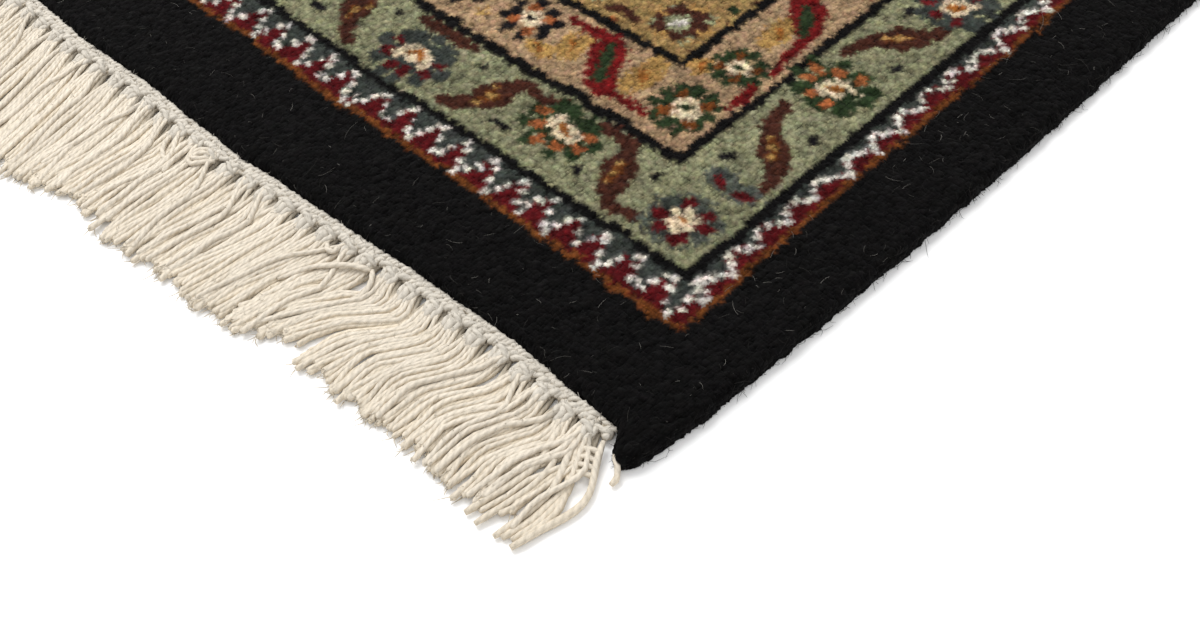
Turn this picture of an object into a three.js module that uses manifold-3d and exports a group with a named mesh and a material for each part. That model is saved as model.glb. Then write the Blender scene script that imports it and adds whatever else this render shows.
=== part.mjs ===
// A hand-knotted oriental wool rug with a cotton fringe at each short end, lying flat on the floor.
// Millimetres. +Y runs along the rug, +X across it and +Z up; the origin is under the rug's middle.
import * as THREE from 'three';
import { mergeVertices } from 'three/addons/utils/BufferGeometryUtils.js';
import Module from 'manifold-3d';

// Driving sizes
const RUG_WIDTH = 600;
const RUG_LENGTH = 900;
const RUG_THICKNESS = 10;
const EDGE_ROUNDING = 3.4;
const ROUNDING_STEPS = 2;
const CORNER_RADIUS = 8;
const PIECE_GAP = 0.3;
const END_STEP = 10;
const SIDE_STEP = 30;

const BAND_WIDTH = 8;
const BAND_HEIGHT = 4.6;
const KNOT_LENGTH = 7;
const KNOT_SHARE = 0.62;
const KNOT_TAPER = 0.8;
const BUNDLES = 40;
const FRONT_KNOTS = { first: -279, last: 271 };
const BACK_KNOTS = { first: -279, last: 279 };
const LOCKS_IN_BUNDLE = 3;

const LOCK_WIDTH = 2.6;
const LOCK_CREST = 1.5;
const LOCK_HEIGHT = 3.0;
const LOCK_ROOT_DEPTH = 5;
const LOCK_STEPS = 4;

// How far each edge of the pile is drawn in from the full rectangle, in mm.
// along: 0 to 1 from the edge's -X or -Y end to its +X or +Y end. A negative value stands out.
const DRAWN_IN = {
  front: [
    { along: 0.00, inward: -2.0 },
    { along: 0.12, inward: 0.5 },
    { along: 0.23, inward: -2.5 },
    { along: 0.32, inward: -1.0 },
    { along: 0.41, inward: -2.9 },
    { along: 0.48, inward: -4.0 },
    { along: 0.53, inward: -1.8 },
    { along: 0.63, inward: 0.4 },
    { along: 0.70, inward: 2.6 },
    { along: 0.83, inward: 4.2 },
    { along: 0.90, inward: 0.8 },
    { along: 0.955, inward: -1.0 },
    { along: 0.975, inward: -12.0 },
    { along: 1.00, inward: -13.0 },
  ],
  back: [
    { along: 0.00, inward: -6.0 },
    { along: 0.06, inward: -1.0 },
    { along: 0.20, inward: 2.5 },
    { along: 0.40, inward: 0.0 },
    { along: 0.58, inward: -2.0 },
    { along: 0.75, inward: 1.5 },
    { along: 0.92, inward: 0.0 },
    { along: 1.00, inward: -4.0 },
  ],
  right: [
    { along: 0.00, inward: 13.0 },
    { along: 0.02, inward: 8.6 },
    { along: 0.06, inward: 7.0 },
    { along: 0.14, inward: 3.6 },
    { along: 0.22, inward: 1.2 },
    { along: 0.30, inward: 0.0 },
    { along: 0.48, inward: 0.6 },
    { along: 0.66, inward: 2.2 },
    { along: 0.84, inward: 0.8 },
    { along: 1.00, inward: 4.0 },
  ],
  left: [
    { along: 0.00, inward: 6.0 },
    { along: 0.08, inward: 3.0 },
    { along: 0.25, inward: 0.6 },
    { along: 0.42, inward: 2.0 },
    { along: 0.62, inward: 0.0 },
    { along: 0.80, inward: 1.8 },
    { along: 1.00, inward: 6.0 },
  ],
};

// How the front fringe is combed. along: mm from the middle of the end, to +X. Then how far a lock has
// drifted to +X at a third, two thirds and the whole of its length, and how far it reaches, all in mm.
const COMBED = [
  { along: -300, third: 1, twoThirds: 6, tip: 8, reach: 80 },
  { along: -250, third: 3, twoThirds: 11, tip: 16, reach: 87 },
  { along: -200, third: 6, twoThirds: 16, tip: 23, reach: 91 },
  { along: -160, third: 7, twoThirds: 18, tip: 26, reach: 92 },
  { along: -115, third: 6, twoThirds: 14, tip: 20, reach: 93 },
  { along: -65, third: 5, twoThirds: 8, tip: 12, reach: 79 },
  { along: -20, third: 2, twoThirds: 3, tip: 5, reach: 89 },
  { along: 10, third: 2, twoThirds: 0, tip: 1, reach: 86 },
  { along: 50, third: 1, twoThirds: -3, tip: -4, reach: 85 },
  { along: 80, third: 0, twoThirds: -6, tip: -8, reach: 84 },
  { along: 125, third: 2, twoThirds: -11, tip: -13, reach: 77 },
  { along: 160, third: 2, twoThirds: -12, tip: -14, reach: 79 },
  { along: 190, third: 1, twoThirds: -12, tip: -13, reach: 77 },
  { along: 220, third: 1, twoThirds: -12, tip: -12, reach: 74 },
  { along: 245, third: 2, twoThirds: -8, tip: -7, reach: 75 },
  { along: 270, third: 3, twoThirds: -2, tip: -2, reach: 77 },
  { along: 300, third: 8, twoThirds: 9, tip: 4, reach: 74 },
];
const LOCK_UNEVENNESS = 4.5;
const LOCK_WANDER = 0.2;
const STRAIGHT_ROOT = 0.12;

const PILE_COLOUR = 0x15140f;
const COTTON_COLOUR = 0xe6dcc6;

const wasm = await Module();
wasm.setup();

// The index of the first item past a place, kept between the second and the last.
function nextItem(items, isPast) {
  const found = items.findIndex(isPast);
  return found === -1 ? items.length - 1 : Math.max(found, 1);
}

// The value of one column of a table at a place between its rows, eased from row to row.
function fromTable(rows, place, column) {
  const next = nextItem(rows, (row) => row.along > place);
  const before = rows[next - 1];
  const after = rows[next];
  const share = THREE.MathUtils.clamp((place - before.along) / (after.along - before.along), 0, 1);
  return THREE.MathUtils.lerp(before[column], after[column], THREE.MathUtils.smoothstep(share, 0, 1));
}

// A steady number from -1 to 1 for each lock, so that no two locks are quite alike.
function uneven(index, salt) {
  const wave = Math.sin(index * 12.9898 + salt * 78.233) * 43758.5453;
  return 2 * (wave - Math.floor(wave)) - 1;
}

// Where the pile ends: side is 'front', 'back', 'left' or 'right', place is mm from that edge's middle.
function pileEdge(side, place) {
  const across = side === 'front' || side === 'back';
  const length = across ? RUG_WIDTH : RUG_LENGTH;
  const reach = (across ? RUG_LENGTH : RUG_WIDTH) / 2;
  return reach - fromTable(DRAWN_IN[side], place / length + 0.5, 'inward');
}

// The corner between two edges: an arc that starts on one edge and ends on the other.
function cornerArc(xSide, ySide) {
  const xWay = xSide === 'right' ? 1 : -1;
  const yWay = ySide === 'back' ? 1 : -1;
  const corner = new THREE.Vector2(
    xWay * pileEdge(xSide, (yWay * RUG_LENGTH) / 2),
    yWay * pileEdge(ySide, (xWay * RUG_WIDTH) / 2),
  );
  const middle = corner.clone().sub(new THREE.Vector2(xWay, yWay).multiplyScalar(CORNER_RADIUS));
  const points = [];
  for (const turn of [0, 0.25, 0.5, 0.75, 1]) {
    const angle = (turn * Math.PI) / 2;
    const outward = new THREE.Vector2(xWay * Math.cos(angle), yWay * Math.sin(angle));
    points.push(middle.clone().addScaledVector(outward, CORNER_RADIUS));
  }
  return points;
}

// The points of one edge between two corners, leaving out the corners themselves.
function edgePoints(side, from, to) {
  const across = side === 'front' || side === 'back';
  const way = side === 'right' || side === 'back' ? 1 : -1;
  const count = Math.round(Math.abs(to - from) / (across ? END_STEP : SIDE_STEP));
  const points = [];
  for (let i = 1; i < count; i += 1) {
    const place = THREE.MathUtils.lerp(from, to, i / count);
    const out = way * pileEdge(side, place);
    points.push(across ? new THREE.Vector2(place, out) : new THREE.Vector2(out, place));
  }
  return points;
}

// The rug's outline, counter-clockwise from the front right corner, as one list of points per stretch.
function rugOutline() {
  const frontRight = cornerArc('right', 'front').reverse();
  const backRight = cornerArc('right', 'back');
  const backLeft = cornerArc('left', 'back').reverse();
  const frontLeft = cornerArc('left', 'front');
  return {
    frontRight,
    right: edgePoints('right', frontRight.at(-1).y, backRight[0].y),
    backRight,
    back: edgePoints('back', backRight.at(-1).x, backLeft[0].x),
    backLeft,
    left: edgePoints('left', backLeft.at(-1).y, frontLeft[0].y),
    frontLeft,
    front: edgePoints('front', frontLeft.at(-1).x, frontRight[0].x),
  };
}

// A flat-backed outline raised to a height, with its positions shared between faces.
function raised(points, height, rounding) {
  const geometry = new THREE.ExtrudeGeometry(new THREE.Shape(points), {
    depth: height - 2 * rounding,
    bevelEnabled: rounding > 0,
    bevelThickness: rounding,
    bevelSize: rounding,
    bevelOffset: -rounding,
    bevelSegments: ROUNDING_STEPS,
  });
  geometry.translate(0, 0, rounding);
  return geometry;
}

function solidOf(geometry) {
  geometry.deleteAttribute('normal');
  geometry.deleteAttribute('uv');
  const merged = mergeVertices(geometry, 1e-4);
  const mesh = new wasm.Mesh({
    numProp: 3,
    vertProperties: new Float32Array(merged.attributes.position.array),
    triVerts: new Uint32Array(merged.index.array),
  });
  return new wasm.Manifold(mesh);
}

function geometryOf(solid) {
  const mesh = solid.getMesh();
  const geometry = new THREE.BufferGeometry();
  geometry.setAttribute('position', new THREE.BufferAttribute(mesh.vertProperties, 3));
  geometry.setIndex(new THREE.BufferAttribute(mesh.triVerts, 1));
  return geometry;
}

// The knots of one fringe, evenly along the end, in mm from its middle.
function knotPlaces({ first, last }) {
  const pitch = (last - first) / (BUNDLES - 1);
  return Array.from({ length: BUNDLES }, (_, i) => first + i * pitch);
}

// Where the pile ends at a place along the end, on the straight lines between its points.
function edgeAt(line, place) {
  const next = nextItem(line, (point) => point.x > place);
  const share = (place - line[next - 1].x) / (line[next].x - line[next - 1].x);
  return THREE.MathUtils.lerp(line[next - 1].y, line[next].y, share);
}

// A fringe is worked out beyond the points of the pile's end, running out towards -Y.
function twinedBand(line, places) {
  const halfKnot = ((places[1] - places[0]) * KNOT_SHARE) / 2;
  const [low, high] = [places[0] - halfKnot, places.at(-1) + halfKnot];
  const edge = line.filter((point) => point.x > low && point.x < high);
  const ends = { low: edgeAt(line, low), high: edgeAt(line, high) };
  const inner = [
    new THREE.Vector2(high, ends.high - PIECE_GAP),
    ...edge.map(({ x, y }) => new THREE.Vector2(x, y - PIECE_GAP)).reverse(),
    new THREE.Vector2(low, ends.low - PIECE_GAP),
  ];
  const outer = places.flatMap((place) => {
    const bandEdge = edgeAt(line, place) - PIECE_GAP - BAND_WIDTH;
    return [
      new THREE.Vector2(place - halfKnot, bandEdge),
      new THREE.Vector2(place - halfKnot * KNOT_TAPER, bandEdge - KNOT_LENGTH),
      new THREE.Vector2(place + halfKnot * KNOT_TAPER, bandEdge - KNOT_LENGTH),
      new THREE.Vector2(place + halfKnot, bandEdge),
    ];
  });
  return solidOf(raised([...outer, ...inner], BAND_HEIGHT, 0));
}

// One loose lock of yarns: four-sided, flat underneath, following how the fringe is combed there.
function fringeLock(root, pileEnd, index, salt) {
  const shortened = (LOCK_UNEVENNESS * (uneven(index, salt) + 1)) / 2;
  const reach = RUG_LENGTH / 2 + fromTable(COMBED, root, 'reach') - shortened;
  const start = -pileEnd + PIECE_GAP + BAND_WIDTH + KNOT_LENGTH - LOCK_ROOT_DEPTH;
  const wander = LOCK_WANDER * uneven(index, salt + 1);
  const stops = [
    { share: 0, drift: 0 },
    { share: STRAIGHT_ROOT, drift: 0 },
    { share: 1 / 3, drift: fromTable(COMBED, root, 'third') + wander },
    { share: 2 / 3, drift: fromTable(COMBED, root, 'twoThirds') - wander },
    { share: 1, drift: fromTable(COMBED, root, 'tip') + wander },
  ];
  const path = new THREE.CatmullRomCurve3(stops.map(({ share, drift }) => new THREE.Vector3(
    root + drift,
    -THREE.MathUtils.lerp(start, reach, share),
    0,
  )));
  const section = new THREE.Shape([
    new THREE.Vector2(0, -LOCK_WIDTH / 2),
    new THREE.Vector2(0, LOCK_WIDTH / 2),
    new THREE.Vector2(-LOCK_HEIGHT, LOCK_CREST / 2),
    new THREE.Vector2(-LOCK_HEIGHT, -LOCK_CREST / 2),
  ]);
  return solidOf(new THREE.ExtrudeGeometry(section, { steps: LOCK_STEPS, extrudePath: path }));
}

// A whole fringe: the twined band with its knots, and the locks that hang from them.
function fringe(line, knots, salt) {
  const places = knotPlaces(knots);
  const spacing = (places[1] - places[0]) / LOCKS_IN_BUNDLE;
  const locks = places.flatMap((place, bundle) => Array.from({ length: LOCKS_IN_BUNDLE }, (_, i) => {
    const root = place + (i - (LOCKS_IN_BUNDLE - 1) / 2) * spacing;
    return fringeLock(root, edgeAt(line, place), bundle * LOCKS_IN_BUNDLE + i, salt);
  }));
  return wasm.Manifold.union([twinedBand(line, places), ...locks]);
}

const pileMaterial = new THREE.MeshStandardMaterial({ color: PILE_COLOUR, roughness: 0.95, metalness: 0 });
const cottonMaterial = new THREE.MeshStandardMaterial({ color: COTTON_COLOUR, roughness: 0.9, metalness: 0 });
const group = new THREE.Group();

function place(name, geometry, material) {
  geometry.computeVertexNormals();
  const mesh = new THREE.Mesh(geometry, material);
  mesh.name = name;
  group.add(mesh);
  return mesh;
}

const outline = rugOutline();
const rug = raised(Object.values(outline).flat(), RUG_THICKNESS, EDGE_ROUNDING);
place('rug_pile', geometryOf(solidOf(rug)), pileMaterial);

const frontLine = [outline.frontLeft.at(-1), ...outline.front, outline.frontRight[0]];
const frontFringe = fringe(frontLine, FRONT_KNOTS, 1);
place('fringe_front', geometryOf(frontFringe), cottonMaterial);

// The far fringe is combed the same way, turned half round.
const backEnd = [outline.backRight.at(-1), ...outline.back, outline.backLeft[0]];
const backLine = backEnd.map(({ x, y }) => new THREE.Vector2(-x, -y));
const backFringe = fringe(backLine, BACK_KNOTS, 3);
place('fringe_back', geometryOf(backFringe), cottonMaterial).rotation.z = Math.PI;

export default group;
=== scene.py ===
import math

import bmesh
import bpy
import numpy as np
from mathutils import Matrix, Vector


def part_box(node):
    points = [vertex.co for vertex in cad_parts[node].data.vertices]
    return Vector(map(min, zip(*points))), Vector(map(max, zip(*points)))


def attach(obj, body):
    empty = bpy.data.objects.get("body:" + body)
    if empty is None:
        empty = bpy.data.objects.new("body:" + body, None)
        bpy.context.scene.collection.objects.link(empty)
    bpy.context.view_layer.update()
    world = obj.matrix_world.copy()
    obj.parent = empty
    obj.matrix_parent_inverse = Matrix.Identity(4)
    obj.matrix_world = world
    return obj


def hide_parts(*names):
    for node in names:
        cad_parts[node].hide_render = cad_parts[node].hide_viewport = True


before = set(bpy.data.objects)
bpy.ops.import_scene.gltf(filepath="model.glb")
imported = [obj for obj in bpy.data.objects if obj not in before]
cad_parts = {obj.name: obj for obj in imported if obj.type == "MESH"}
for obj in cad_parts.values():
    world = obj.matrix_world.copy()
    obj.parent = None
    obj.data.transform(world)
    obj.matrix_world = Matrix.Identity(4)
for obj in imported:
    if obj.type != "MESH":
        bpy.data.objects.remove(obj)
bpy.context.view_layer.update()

# A hand-knotted wool rug with a cotton fringe at each end. Lengths are in mm until a mesh is written.
MM = 0.001
PILE_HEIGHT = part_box("rug_pile")[1].z / MM

# The pile: one knot for each square of its canvas
KNOT = 2.0
COLUMNS = 301
ROWS = 454
HALF_WIDTH = COLUMNS * KNOT / 2
HALF_LENGTH = ROWS * KNOT / 2
EDGE_KNOTS = 4
EDGE_ROUNDING = 5.0
CORNER_RADIUS = 9.0
EDGE_EASE = 44.0
SIDE_DEPTH = 25.0
WALL_BOTTOM = 0.4
STRIPS = 4
KNOT_SHIFT = 0.6
TIP_SHIFT = 0.58

# The corner where the end bulges a little, as the photo shows
BULGE_PLACE = 286.0
BULGE_DEPTH = 3.5
BULGE_WIDTH = 9.0

# The woven ground under the pile
GROUND_CELL = 4.6
GROUND_TOP = 4.6
GROUND_INSET = 2.2

# The yarns, as sRGB from 0 to 255
YARNS = {
    "black": (11, 10, 10),
    "sage": (124, 123, 95),
    "peach": (153, 126, 97),
    "gold": (144, 117, 74),
    "red": (78, 14, 18),
    "crimson": (98, 18, 19),
    "slate": (53, 57, 53),
    "mist": (76, 80, 72),
    "white": (206, 199, 188),
    "ivory": (202, 184, 154),
    "rust": (98, 54, 23),
    "brown": (62, 33, 24),
    "green": (36, 49, 28),
    "orange": (140, 80, 45),
    "amber": (138, 84, 36),
    "straw": (158, 123, 71),
    "ink": (20, 18, 20),
    "mint": (130, 131, 100),
}
YARN_NAMES = list(YARNS)

draw = np.random.default_rng(11)


def linear(colour):
    """An sRGB colour from 0 to 255 as the linear light that a shader takes."""
    share = np.asarray(colour, float) / 255
    return np.where(share <= 0.04045, share / 12.92, ((share + 0.055) / 1.055) ** 2.4)


def paint(colour):
    """An sRGB colour from 0 to 255 as a colour socket's four numbers."""
    return tuple(linear(colour)) + (1.0,)


def slow_waves(x, y, length, seed):
    """A smooth unevenness from about -1 to 1 over the rug, with waves of the given length in mm."""
    turn = np.random.default_rng(seed)
    total = 0
    for _ in range(5):
        angle = turn.uniform(0, math.tau)
        reach = length * turn.uniform(0.6, 1.6)
        phase = turn.uniform(0, math.tau)
        total = total + np.sin(math.tau * (x * math.cos(angle) + y * math.sin(angle)) / reach + phase)
    return total / 2.4


def clumped(shape, seed):
    """A random field for the knots whose lumps are two or three knots across."""
    grains = np.random.default_rng(seed).normal(0, 1, (shape[0] + 2, shape[1] + 2))
    weights = (0.5, 1.0, 0.5)
    soft = sum(grains[i:i + shape[0], j:j + shape[1]] * weights[i] * weights[j]
               for i in range(3) for j in range(3))
    return soft / soft.std()


class Chart:
    """A quarter of the design: the yarn of each knot, by its place in mm from the side and end edges."""

    def __init__(self):
        self.x = (np.arange((COLUMNS + 1) // 2) + 0.5)[:, None] * KNOT
        self.y = (np.arange((ROWS + 1) // 2) + 0.5)[None, :] * KNOT
        self.yarn = np.zeros((self.x.size, self.y.size), int)
        self.ragged = draw.normal(0, 1, self.yarn.shape)

    def tie(self, where, yarn):
        self.yarn[where] = YARN_NAMES.index(yarn)

    def inside(self, side, end, ragged=0.0):
        """The knots further in than a line that runs round the rug."""
        wobble = ragged * self.ragged
        return (self.x + wobble > side) & (self.y + wobble > end)

    def spot(self, x, y, wide, high, yarn, turn=0.0):
        """A petal, leaf or dot: an ellipse with the ragged rim that knots give it."""
        angle = math.radians(turn)
        across = (self.x - x) * math.cos(angle) + (self.y - y) * math.sin(angle)
        along = (self.y - y) * math.cos(angle) - (self.x - x) * math.sin(angle)
        rim = (2 * across / wide) ** 2 + (2 * along / high) ** 2
        self.tie(rim < 1 + 0.22 * self.ragged, yarn)

    def ring(self, x, y, radius, count, size, yarn, turn):
        """Petals or leaves spread evenly round a flower, each pointing outwards."""
        for k in range(count):
            angle = turn + 360 * k / count
            way = math.radians(angle)
            self.spot(x + radius * math.cos(way), y + radius * math.sin(way), size[0], size[1], yarn, angle)

    def vine(self, points, yarn):
        """A stem or leaf through points with their widths: x, y, width."""
        for (x0, y0, wide0), (x1, y1, wide1) in zip(points, points[1:]):
            reach = math.hypot(x1 - x0, y1 - y0)
            share = ((self.x - x0) * (x1 - x0) + (self.y - y0) * (y1 - y0)) / reach ** 2
            share = np.clip(share, 0, 1)
            away = np.hypot(self.x - x0 - share * (x1 - x0), self.y - y0 - share * (y1 - y0))
            half = (wide0 + share * (wide1 - wide0)) / 2
            self.tie(away < half + 0.7 * self.ragged, yarn)


# The bands, as mm from the side edge and from the end edge
RUST_LINE = (50.2, 61.8)
GUARD = (53.2, 65.2)
GUARD_LINE = (67, 87.2)
SAGE_BORDER = (74, 93.2)
SAGE_LINE = (126.4, 146.8)
PEACH_BORDER = (133.0, 153.4)
FIELD_LINE = (176.8, 204.8)
FIELD = (183.4, 211.3)

# The guard's trees at the ends, tip row first: . is slate, w white and r red
END_TREES = (
    (
        "....ww.....",
        "...www.....",
        "...w.rr....",
        "..r.rrw....",
        ".wwrrrww...",
        ".wwrrrrr...",
        "..rrrrrrr..",
        "ww.rrrrrww.",
        "wwrrrrrrww.",
        ".rrrrrrrrr.",
        "rrrrrrrrrrr",
    ),
    (
        "...ww......",
        "...ww......",
        "....rww....",
        "..rrrww....",
        ".wwrrrr....",
        ".wwrrrrr...",
        "...rrrrww..",
        "wwrrrrrww..",
        "wwrrrrrrr..",
        "..rrrrrrrww",
        "rrrrrrrrrww",
    ),
    (
        ".....ww....",
        "....www....",
        "....rr.....",
        "..wwrrr....",
        "..wwrrrww..",
        "...rrrrww..",
        ".wwrrrrr...",
        ".wwrrrrrr..",
        "..rrrrrrrww",
        "wwrrrrrrrww",
        "wwrrrrrrrrr",
    ),
)
# The same at the sides, where the guard is narrower: seven knots from the slate to the rust line
SIDE_TREES = (
    (
        ".ww.rrr",
        ".wwrrrr",
        "..rwwrr",
        "...wwrr",
        ".....ww",
        "....rww",
        "...wwrr",
        "...wwrr",
        "..ww.rr",
        ".wwwrrr",
        "ww.rrrr",
    ),
    (
        "ww.rrrr",
        "wwrrrrr",
        "..wwrrr",
        "..wwrrr",
        "....wwr",
        "....wwr",
        "...wwrr",
        "..rwwrr",
        ".ww.rrr",
        ".wwrrrr",
        ".rrrrrr",
    ),
)
GUARD_END_TIP = 75
GUARD_END_REPEAT = 21.1
GUARD_SIDE_TIP = 107
GUARD_SIDE_REPEAT = 22.5
TIP_COLUMN = 5.0


def tie_bands(chart):
    chart.tie(chart.inside(*RUST_LINE, ragged=0.7), "rust")
    chart.tie(chart.inside(*GUARD, ragged=0.5), "slate")
    chart.tie(chart.inside(*GUARD_LINE, ragged=0.3), "black")
    chart.tie(chart.inside(*SAGE_BORDER, ragged=0.4), "sage")
    chart.tie(chart.inside(*SAGE_LINE, ragged=0.3), "black")
    chart.tie(chart.inside(*PEACH_BORDER, ragged=0.4), "peach")
    chart.tie(chart.inside(*FIELD_LINE, ragged=0.3), "black")
    chart.tie(chart.inside(*FIELD, ragged=0.4), "gold")


def tie_guard(chart):
    """Red trees with white stepped outlines, standing on the rust line and pointing inwards."""
    end_depth = (chart.y - GUARD[1]) / (GUARD_LINE[1] - GUARD[1]) + 0 * chart.x
    side_depth = (chart.x - GUARD[0]) / (GUARD_LINE[0] - GUARD[0]) + 0 * chart.y
    at_end = end_depth < side_depth
    depth = np.where(at_end, end_depth, side_depth)
    band = (chart.yarn == YARN_NAMES.index("slate")) & (depth < 1)
    sides = (
        (END_TREES, GUARD_END_TIP, GUARD_END_REPEAT, chart.x + 0 * chart.y, band & at_end),
        (SIDE_TREES, GUARD_SIDE_TIP, GUARD_SIDE_REPEAT, chart.y + 0 * chart.x, band & ~at_end),
    )
    for trees, tip, length, place, part in sides:
        letters = np.array([[list(row) for row in tree] for tree in trees])
        if trees is SIDE_TREES:
            letters = letters.transpose(0, 2, 1)
        _, rows, columns = letters.shape
        repeat = TIP_COLUMN / columns - (place - tip) / length + 0.02 * chart.ragged
        which = (np.floor(repeat).astype(int) * 2 + np.floor(repeat / 3).astype(int)) % len(trees)
        column = np.floor((repeat % 1) * columns).astype(int)
        row = np.clip(np.floor((1 - depth) * rows), 0, rows - 1).astype(int)
        letter = letters[which, row, column]
        chart.tie(part & (letter == "w"), "white")
        chart.tie(part & (letter == "r"), "red")


# The sage border's big flower, as shares of its width and height: x, y, wide, high, turn
BLOSSOM_LEAVES = (
    (0.26, 0.30, 0.30, 0.24, -30), (0.44, 0.06, 0.22, 0.22, 0), (0.42, -0.20, 0.24, 0.20, 20),
    (0.18, -0.42, 0.20, 0.28, 12), (-0.12, -0.45, 0.17, 0.28, -6), (-0.32, -0.26, 0.30, 0.24, 30),
    (-0.43, 0.02, 0.22, 0.30, 0), (-0.20, 0.24, 0.40, 0.32, 25), (0.08, 0.36, 0.20, 0.20, 0),
    (0.0, -0.02, 0.74, 0.66, 0),
)
BLOSSOM_PETALS = (
    (0.36, 0.10, 0.23, 0.14, -12), (0.26, -0.14, 0.24, 0.15, -28), (0.10, -0.33, 0.15, 0.25, 6),
    (-0.10, -0.30, 0.19, 0.16, 0), (-0.29, -0.13, 0.22, 0.15, 10), (-0.31, 0.10, 0.22, 0.12, -8),
)
BLOSSOM_HEART = (
    (0.0, 0.02, 0.40, 0.24, -14), (0.14, 0.08, 0.14, 0.26, 0), (-0.14, -0.04, 0.16, 0.26, 0),
    (0.0, -0.10, 0.16, 0.18, 0),
)
BLOSSOM_EYE = ((0.0, 0.02, 0.26, 0.10, 40), (-0.06, -0.04, 0.09, 0.12, 0))


def blossom(chart, x, y, wide, high, leaf, petal, turn=0.0):
    """A big flower: leaves behind its petals, a white heart and an amber eye."""
    way = math.radians(turn)
    layers = (
        (BLOSSOM_LEAVES, leaf), (BLOSSOM_PETALS, petal), (BLOSSOM_HEART, "ivory"), (BLOSSOM_EYE, "amber"),
    )
    for parts, yarn in layers:
        for across, along, part_wide, part_high, part_turn in parts:
            spot_x = x + across * wide * math.cos(way) - along * high * math.sin(way)
            spot_y = y + across * wide * math.sin(way) + along * high * math.cos(way)
            chart.spot(spot_x, spot_y, part_wide * wide, part_high * high, yarn, part_turn + turn)


# The corner rosette's petals: the way each points, in degrees, its length and width, in mm
ROSETTE_PETALS = ((62, 11, 8), (128, 13, 7), (170, 13, 7), (238, 11, 10), (298, 10, 8), (342, 11, 8))


def rosette(chart, x, y, across, halo, petal):
    """A small round flower with a soft halo, petals, a white star and a dot."""
    chart.spot(x + 1, y, 1.06 * across, 1.02 * across, "mist")
    chart.spot(x + 3, y - 1, 0.8 * across, 0.76 * across, halo)
    chart.spot(x - 9, y - 11, 8, 9, "sage")
    for angle, length, wide in ROSETTE_PETALS:
        way = math.radians(angle)
        chart.spot(x + 12 * math.cos(way), y + 12 * math.sin(way), length, wide, petal, angle)
    for angle in range(20, 360, 60):
        way = math.radians(angle)
        chart.spot(x + 5 * math.cos(way), y + 5.5 * math.sin(way), 9, 5, "ivory", angle)
    chart.spot(x, y, 13, 13, "ivory")
    chart.spot(x, y, 8, 2.6, "amber", 30)


def leafy_rosette(chart, x, y, across, leaf, petal, turn=0.0, lumps=11):
    """The peach border's flower: lumps of leaf round four petals, and a pale heart with a leaf mark."""
    chart.ring(x, y, 0.41 * across, lumps, (0.20 * across, 0.21 * across), leaf, turn + 8)
    chart.ring(x, y, 0.29 * across, lumps - 2, (0.22 * across, 0.20 * across), leaf, turn - 14)
    chart.ring(x, y, 0.27 * across, 4, (0.22 * across, 0.17 * across), petal, turn + 40)
    chart.spot(x, y, 0.38 * across, 0.30 * across, "ivory", turn + 20)
    chart.spot(x, y, 0.25 * across, 0.37 * across, "ivory", turn)
    chart.spot(x, y, 0.22 * across, 0.10 * across, leaf, turn - 25)


def tie_sage_border(chart):
    vines = (
        [(179, 142, 5), (158, 143, 6), (153, 136, 8), (148, 124, 15), (144, 113, 12), (139, 105, 6),
         (130, 101, 6), (114, 106, 5)],
        [(206, 141, 5), (222, 137, 5), (234, 140, 6), (239, 132, 9), (241, 122, 16), (246, 112, 10),
         (253, 103, 7), (262, 100, 5)],
        [(301, 141, 6), (290, 142, 6), (280, 142, 4)],
        [(115, 218, 6), (112, 203, 7), (104, 195, 9), (97, 187, 13), (88, 180, 10), (83, 170, 6),
         (82, 162, 5)],
        [(118, 274, 5), (115, 287, 7), (110, 295, 10), (101, 304, 16), (92, 312, 9), (88, 324, 6),
         (89, 334, 5)],
        [(106, 366, 5), (116, 378, 6), (113, 388, 9), (104, 398, 15), (95, 407, 9), (87, 418, 6),
         (86, 430, 5)],
    )
    for points in vines:
        chart.vine([(x, y, 1.25 * wide + 1.5) for x, y, wide in points], "brown")
    streaks = (
        [(151, 128, 3), (147, 121, 4), (144, 114, 2.5)],
        [(246, 127, 3), (241, 121, 4), (243, 112, 2.5)],
        [(104, 195, 2.5), (98, 189, 4), (93, 183, 3)],
        [(108, 299, 3), (102, 304, 4), (98, 308, 2.5)],
        [(109, 393, 3), (104, 398, 4), (99, 403, 2.5)],
    )
    for points in streaks:
        chart.vine([(x, y, 1.4 * wide) for x, y, wide in points], "rust")
        for x, y, wide in points:
            chart.spot(x + 0.8, y - 0.6, 1.1 * wide, 1.5 * wide, "straw", 30)
    marks = (
        (222, 108, 12, 4, -8), (165, 110, 6, 6, 0), (130, 133, 4, 8, 20), (264, 135, 5, 5, 0),
        (113, 326, 5, 9, -12), (88, 281, 5, 8, 10), (86, 207, 5, 8, -25), (112, 169, 8, 6, -35),
        (90, 385, 6, 7, 20), (116, 430, 5, 8, 0), (284, 112, 5, 5, 0),
    )
    for x, y, wide, high, turn in marks:
        chart.spot(x, y, 1.2 * wide, 1.2 * high, "ink", turn)
    blossom(chart, 193, 127, 50, 41, "green", "orange")
    blossom(chart, 299, 118, 50, 44, "slate", "red", 8)
    blossom(chart, 103, 247, 40, 54, "green", "orange", 96)
    blossom(chart, 95, 347, 42, 52, "slate", "red", 82)
    blossom(chart, 102, 454, 40, 54, "green", "orange", 90)
    chart.spot(103, 154, 19, 17, "mist", 6)
    chart.spot(88, 152, 19, 15, "mist", -10)
    chart.spot(104, 156, 12, 9, "slate", 6)
    chart.spot(102, 151, 12, 6, "red", 24)
    chart.spot(87, 151, 12, 5, "red", -24)
    rosette(chart, 98, 118, 38, "slate", "red")


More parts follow.
